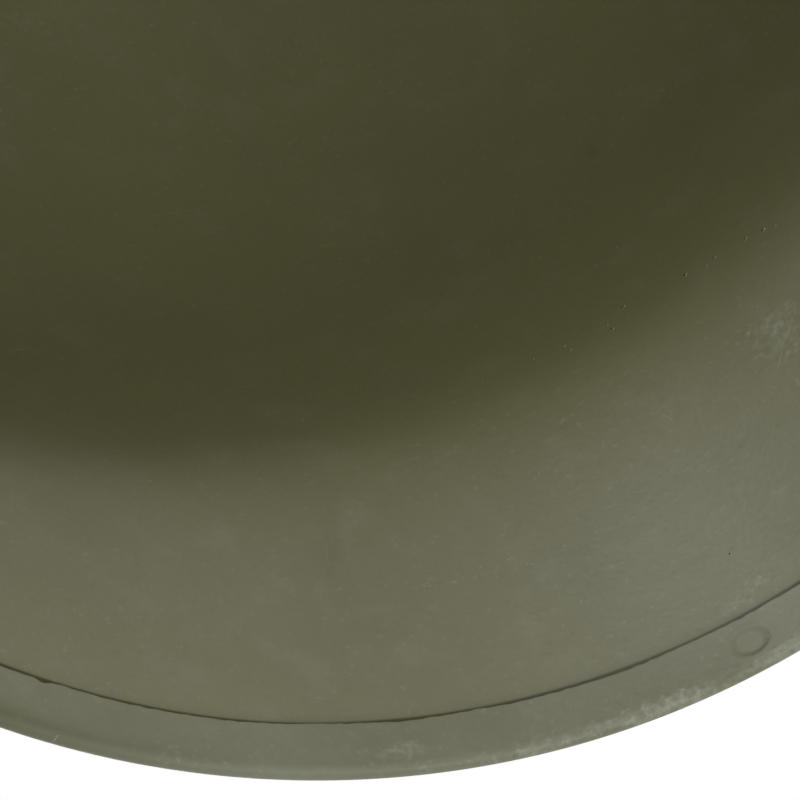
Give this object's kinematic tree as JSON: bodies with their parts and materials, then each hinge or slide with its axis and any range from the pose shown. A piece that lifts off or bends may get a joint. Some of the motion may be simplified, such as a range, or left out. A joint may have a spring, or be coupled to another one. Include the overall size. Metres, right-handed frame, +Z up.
{
  "type": "steel helmet shell",
  "caption": "Pressed steel pot helmet shell with a flared rim, folded edging, swivel side loops and a two-part web chin strap buckled round the back.",
  "frame": {"origin": "on the resting plane, under the middle of the bounding box", "axes": "+Z up through the crown, -Y towards the visor, +X towards the wearer's left"},
  "size_m": [0.2454, 0.2802, 0.178],
  "materials": {
    "shell_paint": "matt olive drab, fine texture",
    "edging_paint": "matt olive drab with pale scuffs",
    "bracket_paint": "matt olive drab",
    "loop_steel": "olive drab, worn at the bars",
    "webbing": "woven cotton webbing",
    "black_hardware": "blackened brass, semi-matt",
    "thread": "waxed cotton thread"
  },
  "bodies": {
    "pot": {"shell": "shell_paint", "edging": "edging_paint", "left_loop_bracket": "bracket_paint", "right_loop_bracket": "bracket_paint", "long_strap": "webbing", "short_strap": "webbing", "hook_slide": "black_hardware", "strap_end_clip": "black_hardware", "long_strap_loop_tack": "thread", "short_strap_loop_tack": "thread", "short_strap_ring_tack": "thread"},
    "left_loop": {"left_loop": "loop_steel"},
    "right_loop": {"right_loop": "loop_steel"},
    "ring": {"strap_ring": "black_hardware"}
  },
  "joints": [
    {"name": "left_loop_swing", "type": "hinge", "parent": "pot", "child": "left_loop", "pos_m": [0.10518, 0.009, 0.02803], "axis": [0, 1, 0], "range_deg": [0, 95], "deforming": ["long_strap", "long_strap_loop_tack"]},
    {"name": "right_loop_swing", "type": "hinge", "parent": "pot", "child": "right_loop", "pos_m": [-0.10518, 0.009, 0.02803], "axis": [0, -1, 0], "range_deg": [0, 95], "deforming": ["short_strap", "short_strap_loop_tack"]},
    {"name": "ring_swing", "type": "hinge", "parent": "pot", "child": "ring", "pos_m": [-0.08181, 0.09052, 0.0491], "axis": [0.0203, -0.0214, 0.9996], "range_deg": [0, 100]}
  ]
}
